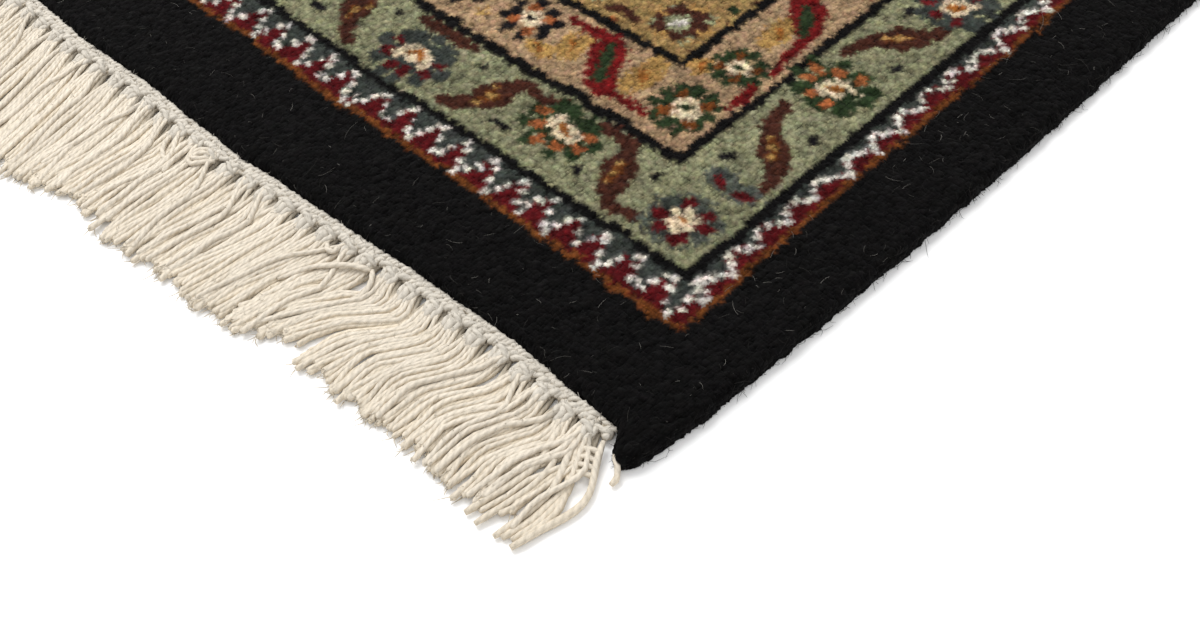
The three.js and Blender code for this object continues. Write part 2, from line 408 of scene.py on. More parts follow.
def tie_peach_border(chart):
    blotches = (
        (190, 186, 17, 34), (238, 180, 18, 26), (158, 263, 16, 28), (171, 214, 11, 20), (252, 166, 20, 11),
        (312, 170, 24, 16), (163, 318, 18, 22), (144, 372, 15, 24), (164, 420, 14, 24),
    )
    for x, y, wide, high in blotches:
        chart.spot(x, y, 1.1 * wide, 1.1 * high, "straw")
        chart.spot(x + 0.1 * wide, y + 2, 0.5 * wide, 0.16 * high, "amber", 20)
        chart.spot(x - 0.1 * wide, y - 1, 0.22 * wide, 0.34 * high, "amber", -25)
    leaves = (
        ([(254, 198, 6), (238, 197, 7), (225, 198, 13), (218, 190, 23), (213, 178, 18), (205, 166, 18),
          (194, 163, 8), (168, 163, 5)],
         [(221, 195, 5), (216, 186, 7), (212, 176, 7), (206, 167, 6)]),
        ([(140, 216, 8), (138, 205, 7), (139, 196, 5)], []),
        ([(138, 234, 5), (140, 250, 7), (141, 266, 8), (148, 278, 19), (156, 288, 23), (166, 296, 16),
          (170, 304, 5)],
         [(146, 272, 6), (153, 283, 9), (160, 291, 7)]),
        ([(172, 380, 5), (168, 366, 8), (158, 356, 16), (148, 346, 14), (141, 334, 8), (139, 322, 5)],
         [(163, 361, 4), (156, 353, 5), (149, 345, 4)]),
        ([(140, 394, 5), (142, 406, 8), (150, 414, 10), (152, 426, 6)], []),
    )
    for points, centre in leaves:
        chart.vine(points, "crimson")
        chart.vine(centre, "green")
    leafy_rosette(chart, 155, 181, 40, "green", "rust")
    leafy_rosette(chart, 155, 226, 34, "green", "rust", 20)
    leafy_rosette(chart, 274, 182, 40, "ink", "orange", 15, 8)
    leafy_rosette(chart, 156, 338, 36, "ink", "orange", 15, 8)
    leafy_rosette(chart, 156, 454, 40, "green", "rust")
    leafy_rosette(chart, 156, 396, 26, "green", "orange", 30)


FIELD_REPEAT = (64, 54.5)
FIELD_FLOWER = (205, 236)


def field_flower(chart, x, y):
    """A square flower on pale petals: eight brown lumps, two to a corner, round a white middle."""
    for x_way in (-1, 1):
        for y_way in (-1, 1):
            chart.spot(x + 7 * x_way, y + 7 * y_way, 17, 17, "mint")
            chart.spot(x + 6 * x_way, y + 10.5 * y_way, 12, 9.5, "brown", 12 * x_way * y_way)
            chart.spot(x + 10.5 * x_way, y + 4.5 * y_way, 10, 9.5, "brown", -12 * x_way * y_way)
    chart.spot(x, y, 6, 11, "white", 35)


def tie_field(chart):
    """The all-over repeat of the middle."""
    inside = chart.inside(*FIELD)
    ground = chart.yarn.copy()
    for across in range(-1, 4):
        for along in range(-1, 6):
            x = FIELD_FLOWER[0] + FIELD_REPEAT[0] * across
            y = FIELD_FLOWER[1] + FIELD_REPEAT[1] * along
            middle_x = x + FIELD_REPEAT[0] / 2
            middle_y = y + FIELD_REPEAT[1] / 2
            chart.spot(x, y, 36, 34, "straw")
            chart.vine([(middle_x - 14, middle_y - 12, 5), (middle_x - 3, middle_y - 14, 9),
                        (middle_x + 12, middle_y - 11, 5)], "brown")
            chart.vine([(middle_x - 11, middle_y + 12, 5), (middle_x, middle_y + 14, 8),
                        (middle_x + 11, middle_y + 11, 4)], "brown")
            chart.spot(middle_x, middle_y, 12, 9, "orange", 20)
            chart.spot(middle_x, middle_y, 5, 6, "green")
            chart.spot(middle_x + 16, middle_y, 7, 6, "green", 30)
            chart.spot(middle_x - 16, middle_y, 7, 6, "green", -30)
            field_flower(chart, x, y)
    chart.yarn = np.where(inside, chart.yarn, ground)


def full_design():
    """The yarn of every knot: the quarter turned over to all four corners, with a hand's unevenness."""
    chart = Chart()
    tie_bands(chart)
    tie_guard(chart)
    tie_sage_border(chart)
    tie_peach_border(chart)
    tie_field(chart)
    x = ((np.arange(COLUMNS) + 0.5) * KNOT - HALF_WIDTH)[:, None]
    y = ((np.arange(ROWS) + 0.5) * KNOT - HALF_LENGTH)[None, :]
    drift_x = 1.1 * slow_waves(x, y, 150, 3) + 0.5 * slow_waves(x, y, 40, 4)
    drift_y = 1.1 * slow_waves(x, y, 170, 5) + 0.5 * slow_waves(x, y, 36, 6)
    from_side = HALF_WIDTH - np.abs(x) + drift_x
    from_end = HALF_LENGTH - np.abs(y) + drift_y
    column = np.clip(np.floor(from_side / KNOT), 0, chart.x.size - 1).astype(int)
    row = np.clip(np.floor(from_end / KNOT), 0, chart.y.size - 1).astype(int)
    return chart.yarn[column, row]


def knot_colours(design, clumps):
    """Each knot's own colour: its yarn's, a little lighter or darker, with slow changes from dye to dye."""
    palette = np.array([linear(YARNS[name]) for name in YARN_NAMES])
    colour = palette[design]
    x = ((np.arange(COLUMNS) + 0.5) * KNOT)[:, None]
    y = ((np.arange(ROWS) + 0.5) * KNOT)[None, :]
    dye = 1 + 0.07 * slow_waves(x, 2.4 * y, 160, 8) + 0.05 * slow_waves(x, y, 30, 9)
    each = np.exp(draw.normal(0, 0.14, design.shape) + 0.07 * clumps)
    tint = 1 + draw.normal(0, 0.04, design.shape + (3,))
    return colour * (dye * each)[..., None] * tint


def spread_to_corners(colours):
    """The colours over the rims too, at the knots' tips and where four knots meet, their yarns mixed."""
    around = (EDGE_KNOTS, EDGE_KNOTS + 1)
    full = np.pad(colours, (around, around, (0, 0)), mode="edge")
    before = np.pad(full, ((1, 0), (1, 0), (0, 0)), mode="edge")
    shares = draw.dirichlet((0.9, 0.9, 0.9, 0.9), full.shape[:2])
    parts = (before[:-1, :-1], before[1:, :-1], before[:-1, 1:], before[1:, 1:])
    mixed = sum(part * shares[:, :, k, None] for k, part in enumerate(parts))
    return full, mixed


def outline_points():
    """The corners of the pile's outline at half height, from the CAD solid."""
    points = np.array([v.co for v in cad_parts["rug_pile"].data.vertices]) / MM
    return points[np.abs(points[:, 2] - PILE_HEIGHT / 2) < PILE_HEIGHT / 4, :2]


def edge_line(outline, axis, way):
    """One side of the outline: places along it, how far out it lies there, and where its corners begin."""
    other = 1 - axis
    rim = outline[outline[:, axis] * way > (HALF_WIDTH, HALF_LENGTH)[axis] - SIDE_DEPTH]
    rim = rim[np.argsort(rim[:, other])]
    places, out = rim[:, other], rim[:, axis] * way
    return places, out, places[0] + CORNER_RADIUS, places[-1] - CORNER_RADIUS


EDGES = {(axis, way): edge_line(outline_points(), axis, way) for axis in (0, 1) for way in (-1, 1)}


def edge_at(axis, way, place):
    """How far out the pile's edge lies at a place along it."""
    places, out, first, last = EDGES[axis, way]
    return np.interp(np.clip(place, first, last), places, out)


def drawn_to_edge(x, y):
    """Moves the outer part of a straight rectangle out to the rug's real, uneven outline."""
    moved_x, moved_y = x, y
    for way in (-1, 1):
        ease = np.clip(1 - (HALF_WIDTH - way * x) / EDGE_EASE, 0, 1) ** 2
        moved_x = moved_x + way * ease * (edge_at(0, way, y) - HALF_WIDTH)
        ease = np.clip(1 - (HALF_LENGTH - way * y) / EDGE_EASE, 0, 1) ** 2
        bulge = BULGE_DEPTH * np.exp(-((x + way * BULGE_PLACE) / BULGE_WIDTH) ** 2)
        moved_y = moved_y + way * ease * (edge_at(1, way, x) + bulge - HALF_LENGTH)
    return moved_x, moved_y


def over_the_edge(s, t, inset=0.0):
    """Where a point of the flat pile comes to lie once its rims are bent down, and which way it faces."""
    inner_x = HALF_WIDTH - CORNER_RADIUS
    inner_y = HALF_LENGTH - CORNER_RADIUS
    a = np.maximum(np.abs(s) - inner_x, 0)
    b = np.maximum(np.abs(t) - inner_y, 0)
    reach = np.maximum(a, b)
    length = np.maximum(np.hypot(a, b), 1e-9)
    way_x = np.sign(s) * a / length
    way_y = np.sign(t) * b / length
    straight = CORNER_RADIUS - EDGE_ROUNDING
    past = np.maximum(reach - straight, 0)
    bend = np.clip(past / EDGE_ROUNDING, 0, math.pi / 2)
    drop = np.maximum(past - EDGE_ROUNDING * math.pi / 2, 0)
    plan = np.minimum(reach, straight) + EDGE_ROUNDING * np.sin(bend)
    z = PILE_HEIGHT - EDGE_ROUNDING * (1 - np.cos(bend)) - drop
    x = np.clip(s, -inner_x, inner_x) + way_x * plan
    y = np.clip(t, -inner_y, inner_y) + way_y * plan
    x, y = drawn_to_edge(x, y)
    place = np.stack([x - inset * way_x, y - inset * way_y, z], axis=-1)
    facing = np.stack([way_x * np.sin(bend), way_y * np.sin(bend), np.cos(bend)], axis=-1)
    return place, facing


def read(sequence, field, width, kind=np.float32):
    values = np.zeros(len(sequence) * width, kind)
    sequence.foreach_get(field, values)
    return values.reshape(-1, width) if width > 1 else values


def add_attribute(mesh, name, kind, domain, field, values):
    attribute = mesh.attributes.new(name, kind, domain)
    attribute.data.foreach_set(field, np.ascontiguousarray(values, np.float32).ravel())


def add_map(mesh, name, values):
    layer = mesh.uv_layers.new(name=name)
    layer.uv.foreach_set("vector", np.ascontiguousarray(values, np.float32).ravel())


def place_vertices(mesh, places):
    mesh.vertices.foreach_set("co", np.ascontiguousarray(places * MM, np.float32).ravel())
    mesh.update()


def mesh_from(bm, name):
    mesh = bpy.data.meshes.new(name)
    bm.to_mesh(mesh)
    bm.free()
    return mesh


def piece_from(mesh, finish):
    mesh.materials.append(finish)
    mesh.polygons.foreach_set("use_smooth", np.ones(len(mesh.polygons), bool))
    piece = bpy.data.objects.new(mesh.name, mesh)
    bpy.context.scene.collection.objects.link(piece)
    return piece


class Number:
    """A number in a finish. Sums, differences, products and powers of it add Math nodes."""

    def __init__(self, finish, socket):
        self.finish = finish
        self.socket = socket

    def maths(self, operation, first, second):
        inputs = {"Value": first, "Value_001": second}
        return self.finish.number("ShaderNodeMath", {"operation": operation}, inputs, "Value")

    def __add__(self, other):
        return self.maths("ADD", self, other)

    def __radd__(self, other):
        return self.maths("ADD", other, self)

    def __sub__(self, other):
        return self.maths("SUBTRACT", self, other)

    def __rsub__(self, other):
        return self.maths("SUBTRACT", other, self)

    def __mul__(self, other):
        return self.maths("MULTIPLY", self, other)

    def __rmul__(self, other):
        return self.maths("MULTIPLY", other, self)

    def __pow__(self, other):
        return self.maths("POWER", self, other)

    def sine(self):
        return self.maths("SINE", self, 0)


class Finish:
    """A material and the nodes that make it."""

    def __init__(self, name):
        self.material = bpy.data.materials.new(name)
        self.material.use_nodes = True
        self.tree = self.material.node_tree
        self.tree.nodes.clear()

    def node(self, kind, settings, inputs, output):
        """A node of any type: its settings first, then the values or links of its sockets."""
        node = self.tree.nodes.new(kind)
        for name, value in settings.items():
            setattr(node, name, value)
        sockets = {socket.identifier: socket for socket in node.inputs}
        for name, value in inputs.items():
            value = value.socket if isinstance(value, Number) else value
            if isinstance(value, bpy.types.NodeSocket):
                self.tree.links.new(value, sockets[name])
            else:
                sockets[name].default_value = value
        return next((socket for socket in node.outputs if socket.identifier == output), None)

    def number(self, kind, settings, inputs, output):
        return Number(self, self.node(kind, settings, inputs, output))

    def place(self):
        """The point's place on the rug, in metres."""
        return self.node("ShaderNodeTexCoord", {}, {}, "Object")

    def colours(self, name):
        """A piece's own colour from point to point."""
        return self.node("ShaderNodeAttribute", {"attribute_name": name}, {}, "Color")

    def level(self, name):
        """A piece's own number from point to point."""
        return self.number("ShaderNodeAttribute", {"attribute_name": name}, {}, "Fac")

    def part(self, vector, axis):
        """One coordinate of a point."""
        return self.number("ShaderNodeSeparateXYZ", {}, {"Vector": vector}, axis)

    def noise(self, vector, grain, detail, roughness):
        """Soft noise whose grains are about that many metres across."""
        inputs = {"Vector": vector, "Scale": 1 / grain, "Detail": detail, "Roughness": roughness}
        return self.number("ShaderNodeTexNoise", {}, inputs, "Fac")

    def cells(self, vector, across):
        """The distance from the middle of the nearest of many round cells, from 0 to about 0.9."""
        inputs = {"Vector": vector, "Scale": 1 / across, "Randomness": 0.9}
        return self.number("ShaderNodeTexVoronoi", {}, inputs, "Distance")

    def scaled(self, colour, amount):
        """A colour made lighter or darker by a number."""
        inputs = {"Vector": colour, "Scale": amount}
        return self.node("ShaderNodeVectorMath", {"operation": "SCALE"}, inputs, "Vector")

    def mixed(self, factor, first, second):
        inputs = {"Factor_Float": factor, "A_Color": first, "B_Color": second}
        return self.node("ShaderNodeMix", {"data_type": "RGBA"}, inputs, "Result_Color")

    def bump(self, height, distance, strength):
        inputs = {"Height": height, "Distance": distance, "Strength": strength}
        return self.node("ShaderNodeBump", {}, inputs, "Normal")

    def surface(self, colour, normal, roughness, specular, sheen=0.0):
        inputs = {
            "Base Color": colour,
            "Roughness": roughness,
            "Specular IOR Level": specular,
            "Sheen Weight": sheen,
        }
        if normal is not None:
            inputs["Normal"] = normal
        shader = self.node("ShaderNodeBsdfPrincipled", {}, inputs, "BSDF")
        self.node("ShaderNodeOutputMaterial", {}, {"Surface": shader}, "")
        return self.material


def pile_finish():
    """Wool pile: each knot's colour, with painted shade between the tufts and towards the edges of their
    lumps, and the fibres' own light and dark.
    """
    finish = Finish("wool_pile")
    place = finish.place()
    wool = finish.colours("wool")
    crevice_shade = finish.level("crevice_shade")
    fibre = finish.noise(place, 0.0007, 3.0, 0.6)
    clump = finish.noise(place, 0.0026, 2.0, 0.5)
    lump = finish.cells(place, 0.0031)
    # Painted shade: the tone drops towards the valleys between the tufts and towards the edge of each round
    # lump, besides the bump.
    tone = 0.88 + 0.34 * crevice_shade + 0.75 * (fibre - 0.5) + 0.6 * (clump - 0.5) - 0.68 * lump
    height = 0.22 * fibre - 0.9 * lump * lump
    normal = finish.bump(height, 0.0014, 0.8)
    return finish.surface(finish.scaled(wool, tone), normal, 0.95, 0.05, 0.02)


def back_finish():
    """The woven back: the design shows through on rows of small knots between cotton wefts."""
    finish = Finish("rug_back")
    place = finish.place()
    wool = finish.colours("wool")
    wave = math.tau / (KNOT * MM)
    knots = 0.5 + 0.5 * (finish.part(place, "X") * wave).sine()
    rows = 0.5 + 0.5 * (finish.part(place, "Y") * wave).sine()
    fibre = finish.noise(place, 0.0006, 3.0, 0.6)
    cover = (rows ** 0.6) * (0.55 + 0.45 * knots)
    colour = finish.mixed(cover, paint((206, 196, 174)), wool)
    normal = finish.bump(cover + 0.3 * fibre, 0.0007, 0.6)
    return finish.surface(finish.scaled(colour, 0.7 + 0.6 * fibre), normal, 0.95, 0.12)


def cotton_finish(name, colour, low_shade, twist):
    """Soft cotton yarn: slanting grooves between its plies, painted darker as shade, and a warmer, darker
    colour painted low down in the fringe as shade.
    """
    finish = Finish(name)
    along = finish.node("ShaderNodeUVMap", {"uv_map": "yarn"}, {}, "UV")
    shade = finish.level("shade")
    place = finish.place()
    slant = finish.part(along, "X") * 2 + finish.part(along, "Y") * (1 / twist)
    ply = 0.5 + 0.5 * (slant * math.tau).sine()
    fibre = finish.noise(place, 0.0008, 3.0, 0.6)
    soft = finish.noise(place, 0.006, 2.0, 0.5)
    # Painted shade: the tone is darker in the grooves between the plies, besides their bump.
    tone = shade * (0.86 + 0.17 * ply ** 0.5 + 0.36 * (fibre - 0.5) + 0.24 * (soft - 0.5))
    # Painted shade: the colour turns warmer and darker low down in the fringe, towards the floor.
    near_top = finish.part(place, "Z") * (1 / (COTTON_DEPTH * MM)) + 0.5 * (soft - 0.5)
    mixed = finish.mixed(near_top, paint(low_shade), paint(colour))
    normal = finish.bump(0.5 * ply ** 0.7 + 0.7 * fibre, 0.0009, 0.6)
    return finish.surface(finish.scaled(mixed, tone), normal, 0.95, 0.05)


def fibre_finish(name, colour):
    """Single wool fibres, each with its own shade."""
    finish = Finish(name)
    shade = finish.level("shade")
    return finish.surface(finish.scaled(paint(colour)[:3], shade), None, 0.9, 0.1)


def plain_finish(name, colour, roughness):
    return Finish(name).surface(paint(colour), None, roughness, 0.2)


def pile_strip(number, first, last, colours, shift, lift, finish):
    """One lengthwise strip of the pile: a square of canvas for each knot, poked up into a tuft."""
    rows = ROWS + 2 * EDGE_KNOTS
    columns = last - first
    bm = bmesh.new()
    bmesh.ops.create_grid(bm, x_segments=columns, y_segments=rows, size=0.5)
    bmesh.ops.poke(bm, faces=bm.faces[:], offset=0, center_mode="MEAN")
    mesh = mesh_from(bm, f"pile_strip_{number}")
    grid = read(mesh.vertices, "co", 3)
    i = first + (grid[:, 0] + 0.5) * columns
    j = (grid[:, 1] + 0.5) * rows
    tip = np.abs(i - np.round(i)) > 0.25
    column = np.floor(i + 0.01).astype(int)
    row = np.floor(j + 0.01).astype(int)
    loose = np.where(tip, TIP_SHIFT, 1.0)
    s = (i - EDGE_KNOTS) * KNOT - HALF_WIDTH + loose * shift[column, row, 0]
    t = (j - EDGE_KNOTS) * KNOT - HALF_LENGTH + loose * shift[column, row, 1]
    place, facing = over_the_edge(s, t)
    relief = np.where(tip, lift[column, row, 0], lift[column, row, 1])
    past = np.maximum(np.abs(s) - HALF_WIDTH, np.abs(t) - HALF_LENGTH)
    rim = np.clip(1 + past / CORNER_RADIUS, 0, 1)
    # Painted shade: lower where the pile dips, so the valleys between the tufts come out darker.
    crevice_shade = np.clip(1 + 0.65 * relief, 0, 1.3)
    relief = relief + rim * 0.35 * slow_waves(s, t, 22, 21)
    place = place + facing * relief[:, None]
    place[:, 2] = np.maximum(place[:, 2], WALL_BOTTOM)

    wool = np.ones((len(grid), 4))
    wool[:, :3] = np.where(tip[:, None], colours[0][column, row], colours[1][column, row])
    add_attribute(mesh, "wool", "FLOAT_COLOR", "POINT", "color", wool)
    add_attribute(mesh, "crevice_shade", "FLOAT", "POINT", "value", crevice_shade)

    corners = read(mesh.loops, "vertex_index", 1, np.int32)
    centres = read(mesh.polygons, "center", 3)
    back_half = np.repeat(centres[:, 1] > 0, 3)
    u = (grid[corners, 0] + 0.5) * 0.49
    v = np.where(back_half, grid[corners, 1], grid[corners, 1] + 0.5) * 2 * 0.99
    add_map(mesh, "OFBake", np.stack([u + np.where(back_half, 0.505, 0.005), v + 0.005], axis=-1))

    ends = read(mesh.edges, "vertices", 2, np.int32)
    sharp = mesh.attributes.new("sharp_edge", "BOOLEAN", "EDGE")
    sharp.data.foreach_set("value", ~(tip[ends[:, 0]] | tip[ends[:, 1]]))
    place_vertices(mesh, place)
    return piece_from(mesh, finish)


def foundation(colours, finish):
    """The woven ground under the pile, closed all round, with the design on its underside."""
    bm = bmesh.new()
    columns = round(2 * HALF_WIDTH / GROUND_CELL)
    rows = round(2 * HALF_LENGTH / GROUND_CELL)
    bmesh.ops.create_grid(bm, x_segments=columns, y_segments=rows, size=0.5)
    bmesh.ops.reverse_faces(bm, faces=bm.faces[:])
    rim = [edge for edge in bm.edges if edge.is_boundary]
    raised = bmesh.ops.extrude_edge_only(bm, edges=rim)["geom"]
    top = [v for v in raised if isinstance(v, bmesh.types.BMVert)]
    bmesh.ops.translate(bm, verts=top, vec=(0, 0, 1))
    top_rim = [edge for edge in raised if isinstance(edge, bmesh.types.BMEdge)]
    bmesh.ops.edgeloop_fill(bm, edges=top_rim)
    bmesh.ops.recalc_face_normals(bm, faces=bm.faces[:])
    mesh = mesh_from(bm, "rug_foundation")
    grid = read(mesh.vertices, "co", 3)
    s = grid[:, 0] * 2 * (HALF_WIDTH - 1)
    t = grid[:, 1] * 2 * (HALF_LENGTH - 1)
    place, _ = over_the_edge(s, t, GROUND_INSET)
    woven = 0.18 * np.maximum(slow_waves(s, t, 9, 31), 0)
    place[:, 2] = np.where(grid[:, 2] > 0.5, GROUND_TOP, woven)
    column = np.clip((s + HALF_WIDTH) / KNOT, 0, COLUMNS - 1).astype(int)
    row = np.clip((t + HALF_LENGTH) / KNOT, 0, ROWS - 1).astype(int)
    wool = np.ones((len(grid), 4))
    wool[:, :3] = colours[column, row]
    add_attribute(mesh, "wool", "FLOAT_COLOR", "POINT", "color", wool)
    place_vertices(mesh, place)
    return piece_from(mesh, finish)


# The fringe
BUNDLES = 35
YARNS_IN_BUNDLE = 13
YARN_RADIUS = 1.55
YARN_SIDES = 5
YARN_STEPS = 12
BAND_WIDTH = 8.0
LAYER_HEIGHT = 1.5
# The height in mm over which the cotton's painted shade low down gives way to its own colour
COTTON_DEPTH = 4.8
FRONT_KNOTS = (-279, 256.5)
BACK_KNOTS = (-279, 279)
TWIST = 4.8
STRAY_SHARE = 0.035

# How the front fringe is combed. along: mm from the middle of the end, to +X. Then how far a yarn has
# drifted to +X at a third, two thirds and the whole of its length, and how far it reaches, all in mm.
COMBED = np.array([
    # along, third, two_thirds, tip, reach
    (-300, 1, 6, 8, 80),
    (-250, 3, 11, 16, 88),
    (-200, 8, 18, 26, 93),
    (-161, 9, 20, 30, 95),
    (-110, 6, 14, 18, 93),
    (-65, 6, 3, 0, 78),
    (-20, 0, 2, 6, 87),
    (10, 3, -2, -6, 82),
    (50, 0, -3, -6, 84),
    (80, -3, -8, -10, 86),
    (110, 4, -14, -22, 78),
    (125, 6, -16, -30, 73),
    (155, 4, -12, -12, 80),
    (185, 2, -12, -9, 78),
    (215, 0, -14, -12, 77),
    (243, 3, -8, -5, 76),
    (258, 5, -1, -2, 71),
    (300, 0, 0, 0, 72),
], float)


# The line, 6 mm past the pile's straight edge, from which listed places in the fringe are told
FRINGE_LINE = HALF_LENGTH + 6

# Along a yarn, from 0 to 1: its stations, how high its layer lies, how far an upper yarn rises over the
# knot, how thick it is, how dark a lower yarn is painted between the knots as shade in the hollows, and how
# far a stray one wanders
STATIONS = np.append(np.linspace(0, 0.985, YARN_STEPS), 1.0)
LAYER_RISE = LAYER_HEIGHT * np.interp(STATIONS, (0, 0.15, 0.8, 1), (0.5, 1, 0.9, 0.45))
KNOT_RISE = np.interp(STATIONS, (0, 0.08, 0.17, 0.26), (0, 0.5, 0.4, 0))
THICKNESS = np.interp(STATIONS, (0, 0.12, 0.3, 0.9, 0.985, 1), (0.8, 0.8, 1, 1, 1.1, 0.72))
HOLLOW_SHADE = np.interp(STATIONS, (0, 0.09, 0.18, 0.27), (0.42, 0.42, 0.6, 1))
WANDER = np.interp(STATIONS, (0, 0.1, 0.4, 1), (0, 0, 12, 14))


def tube_mesh(sides, steps):
    """A straight tube of radius 1 from 0 to 1, closed at both ends, that every yarn is bent from."""
    bm = bmesh.new()
    bmesh.ops.create_cone(bm, cap_ends=True, cap_tris=False, segments=sides, radius1=1, radius2=1, depth=1)
    lengthwise = [edge for edge in bm.edges if abs(edge.verts[0].co.z - edge.verts[1].co.z) > 0.5]
    bmesh.ops.subdivide_edges(bm, edges=lengthwise, cuts=steps - 1, use_grid_fill=True)
    return mesh_from(bm, "tube")


def lay_yarns(name, lines, radii, sides, finish, shades, ply=0.0, twist=TWIST):
    """Yarns as one joined mesh. lines: count x stations x 3, radii: count x stations, in mm."""
    count, stations, _ = lines.shape
    tube = tube_mesh(sides, stations - 1)
    bm = bmesh.new()
    for _ in range(count):
        bm.from_mesh(tube)
    mesh = mesh_from(bm, name)
    shape = read(tube.vertices, "co", 3)
    step = np.round((shape[:, 2] + 0.5) * (stations - 1)).astype(int)
    angle = np.arctan2(shape[:, 1], shape[:, 0])

    lines[..., 2] = np.maximum(lines[..., 2], 1.25 * radii)
    forward = np.gradient(lines, axis=1)
    forward /= np.maximum(np.linalg.norm(forward, axis=2, keepdims=True), 1e-9)
    side = np.cross(forward, np.array([0.0, 0.0, 1.0]))
    side += 1e-6
    side /= np.linalg.norm(side, axis=2, keepdims=True)
    up = np.cross(side, forward)
    spans = np.linalg.norm(np.diff(lines, axis=1), axis=2)
    along = np.concatenate([np.zeros((count, 1)), np.cumsum(spans, axis=1)], axis=1)
    phase = draw.uniform(0, math.tau, (count, 1))
    depth = np.broadcast_to(ply, (stations,))[step]
    lobes = 1 + depth * np.cos(2 * angle[None, :] + math.tau * along[:, step] / twist + phase)
    radius = radii[:, step] * lobes
    place = lines[:, step] + radius[..., None] * (
        np.cos(angle)[None, :, None] * side[:, step] - np.sin(angle)[None, :, None] * up[:, step])
    place_vertices(mesh, place.reshape(-1, 3))
    shades = np.broadcast_to(np.reshape(shades, (count, -1)), (count, stations))
    add_attribute(mesh, "shade", "FLOAT", "POINT", "value", shades[:, step])

    corners = read(tube.loops, "vertex_index", 1, np.int32)
    starts = read(tube.polygons, "loop_start", 1, np.int32)
    totals = read(tube.polygons, "loop_total", 1, np.int32)
    turn = angle[corners] / math.tau + 0.5
    for start, total in zip(starts, totals):
        part = turn[start:start + total]
        if total == 4 and part.max() - part.min() > 0.5:
            part[part < 0.5] += 1
    u = np.tile(turn, count)
    v = (along[:, step][:, corners] + phase * twist / math.tau).ravel()
    add_map(mesh, "yarn", np.stack([u, v], axis=-1))
    bpy.data.meshes.remove(tube)
    return piece_from(mesh, finish)


def combed(place, column):
    return np.interp(place, COMBED[:, 0], COMBED[:, column])


def smooth_along(stations, shares, values):
    """Values at uneven stations along a yarn, rounded off where the table bends."""
    fine = np.linspace(0, 1, 61)
    straight = np.interp(fine, shares, values)
    soft = np.convolve(np.pad(straight, 6, mode="edge"), np.ones(7) / 7, mode="same")[6:-6]
    return np.interp(stations, fine, soft)


# Places where the yarns part and the floor shows: along the end, how far out, half width and half length
PARTINGS = ((107, 15, 3.0, 6), (89, 28, 2.6, 6), (-44, 52, 2.6, 12))


def parted(along, out):
    """Where yarns at places along the end come to lie once they are drawn apart at the partings."""
    for middle, depth, wide, long in PARTINGS:
        away = along - middle
        pull = wide * np.exp(-(away / (3.2 * wide)) ** 2 - ((out - depth) / long) ** 2)
        along = along + pull * away / (np.abs(away) + 0.6)
    return along


def bundle_yarns(turn, middle, edge, way, pitch):
    """The yarns of one bundle: under the band, gathered at the knot, then combed out in two layers."""
    comb_place = -way * middle
    bundle_shade = turn.uniform(0.97, 1.02)
    bundle_drift = turn.normal(0, 0.7)
    locks = turn.normal(0, 1, (4, 2))
    lines, radii, shades = [], [], []
    for k in range(YARNS_IN_BUNDLE):
        spot = (k + 0.5) / YARNS_IN_BUNDLE * 2 - 1
        upper = k % 2
        lock = locks[k * 4 // YARNS_IN_BUNDLE]
        reach = combed(comb_place, 4) - 3.5 + turn.normal(0, 2.6) - 2 * abs(spot) + 1.5 * upper
        third, two_thirds, tip = (combed(comb_place, column) for column in (1, 2, 3))
        third += 0.3 * bundle_drift + turn.normal(0, 0.6)
        two_thirds += bundle_drift + 1.2 * lock[0] + turn.normal(0, 1.0)
        tip += bundle_drift + 1.2 * lock[0] + 1.6 * lock[1] + turn.normal(0, 1.8)
        drift = smooth_along(STATIONS, (0, 0.1, 0.33, 0.66, 1), (0, 0, third, two_thirds, tip))
        gathered = (0.72, 0.6, 0.74) if upper else (0.8, 0.78, 0.95)
        spread = np.interp(STATIONS, (0, 0.09, 0.15, 0.27, 1), gathered + (1.06, 1.2))
        sway = 0.7 * np.sin(STATIONS * turn.uniform(6, 13) + turn.uniform(0, 6))
        sway = sway * np.minimum(3 * STATIONS, 1)
        sway = sway + turn.normal(0, 0.18, STATIONS.size) * np.minimum(4 * STATIONS, 1)
        x = middle - way * (drift + sway) + spot * pitch / 2 * spread
        out = edge + 2.5 + STATIONS * (reach - 2.5)
        layer = upper + (1.0 if turn.uniform() < 0.08 else 0.0)
        if turn.uniform() < STRAY_SHARE:
            x = x + turn.choice((-1, 1)) * WANDER
            layer = 2.3
        x = -way * parted(-way * x, out - FRINGE_LINE)
        height = YARN_RADIUS + 0.05 + layer * LAYER_RISE
        height = height + 0.35 * np.sin(STATIONS * turn.uniform(5, 11) + turn.uniform(0, 6)) ** 2
        height = height + upper * KNOT_RISE
        lines.append(np.stack([x, way * out, height], axis=-1))
        thick = YARN_RADIUS * turn.uniform(0.9, 1.1)
        radii.append(thick * THICKNESS)
        # Lower yarns are painted darker between the knots, as shade in the hollows under the heads.
        shades.append(bundle_shade * turn.uniform(0.94, 1.04) * (np.ones(STATIONS.size) if upper else HOLLOW_SHADE))
    return lines, radii, shades


